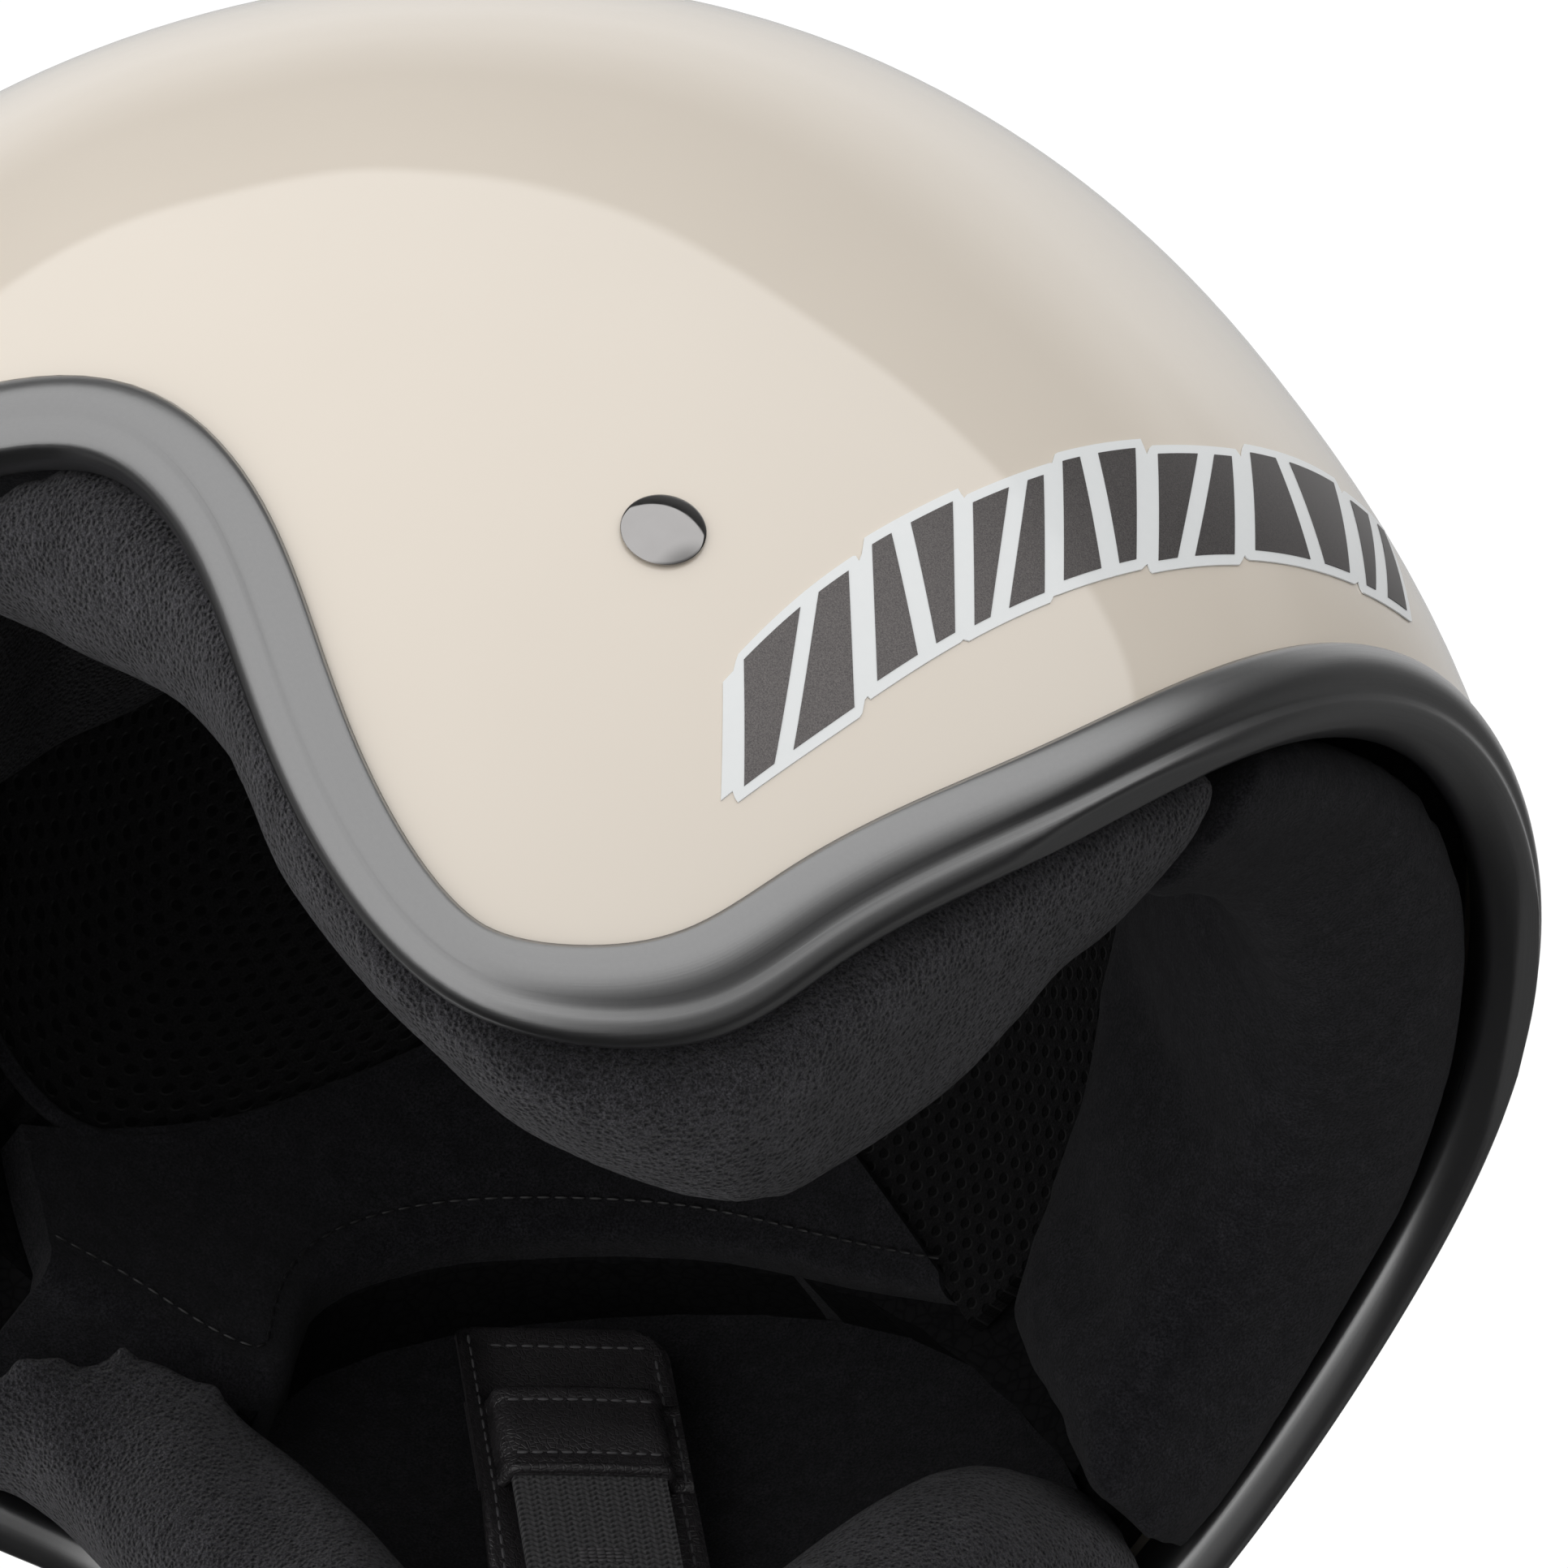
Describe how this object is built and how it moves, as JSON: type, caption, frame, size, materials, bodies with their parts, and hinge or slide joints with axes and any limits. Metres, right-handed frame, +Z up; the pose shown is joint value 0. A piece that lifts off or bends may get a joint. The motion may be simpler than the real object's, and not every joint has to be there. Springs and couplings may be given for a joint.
{
  "type": "open face motorcycle helmet",
  "caption": "Open face motorcycle helmet with glossy shell, rubber edge trim, padded lining and riveted chin straps with D-rings.",
  "frame": {"origin": "centre of the bounding box in plan, at the level of the surface that the helmet stands on", "axes": "+Z up, -Y the way the wearer looks, +X the wearer's left; leant back onto its cheek lobes and nape"},
  "size_m": [0.2464, 0.2582, 0.2429],
  "materials": {
    "paint": "high gloss cream lacquer",
    "trim": "semi-gloss black rubber",
    "foam": "black expanded foam",
    "terry": "black terry loop fabric over foam",
    "brushed": "black brushed fabric over foam",
    "mesh": "black honeycomb mesh fabric",
    "chrome": "polished",
    "steel": "satin plated",
    "leather": "black, semi-gloss, stitched",
    "webbing": "black woven webbing",
    "pull_tab": "red woven webbing",
    "decal": "smooth printed vinyl"
  },
  "bodies": {
    "helmet": {"outer_shell": "paint", "edge_trim": "trim", "eps_liner": "foam", "brow_pad": "terry", "neck_pad": "brushed", "cheek_pad_left": "terry", "cheek_pad_right": "terry", "crown_mesh_liner": "mesh", "rear_mesh_panel": "mesh", "crown_pad": "terry", "side_liner_left": "brushed", "side_liner_right": "brushed", "ear_lining_left": "brushed", "ear_lining_right": "brushed", "rivet_left": "chrome", "rivet_right": "chrome", "decal_left": "decal", "decal_right": "decal"},
    "anchor_left": {"anchor_plate_left": "steel", "anchor_webbing_left": "webbing"},
    "anchor_right": {"anchor_plate_right": "steel", "anchor_webbing_right": "webbing"},
    "strap_left": {"strap_webbing_left": "webbing", "strap_pad_left": "leather"},
    "strap_right": {"strap_webbing_right_back": "webbing", "strap_webbing_right_front": "webbing", "strap_pad_right": "leather", "strap_keeper_right": "leather", "strap_bartack_right": "webbing"},
    "ring_outer": {"d_ring_outer": "steel"},
    "ring_inner": {"d_ring_inner": "steel", "pull_tab": "pull_tab"}
  },
  "joints": [
    {"name": "strap_swivel_left", "type": "hinge", "parent": "helmet", "child": "anchor_left", "pos_m": [0.11782, -0.02631, 0.0556], "axis": [0.974, -0.0775, -0.2131], "range_deg": [-8, 8]},
    {"name": "strap_swivel_right", "type": "hinge", "parent": "helmet", "child": "anchor_right", "pos_m": [-0.11782, -0.02631, 0.0556], "axis": [-0.974, -0.0775, -0.2131], "range_deg": [-8, 8]},
    {"name": "strap_fold_left", "type": "hinge", "parent": "anchor_left", "child": "strap_left", "pos_m": [0.0925, -0.02917, 0.05665], "axis": [-0.1633, -0.8091, 0.5645], "range_deg": [0, 60]},
    {"name": "strap_fold_right", "type": "hinge", "parent": "anchor_right", "child": "strap_right", "pos_m": [-0.0925, -0.02917, 0.05665], "axis": [-0.1633, 0.8091, -0.5645], "range_deg": [0, 60]},
    {"name": "ring_swing_outer", "type": "hinge", "parent": "strap_left", "child": "ring_outer", "pos_m": [0.09334, -0.00502, 0.09151], "axis": [-0.1633, -0.8091, 0.5645], "range_deg": [-12, 0]},
    {"name": "ring_swing_inner", "type": "hinge", "parent": "strap_left", "child": "ring_inner", "pos_m": [0.08979, -0.00454, 0.09117], "axis": [-0.1633, -0.8091, 0.5645], "range_deg": [0, 60]}
  ]
}
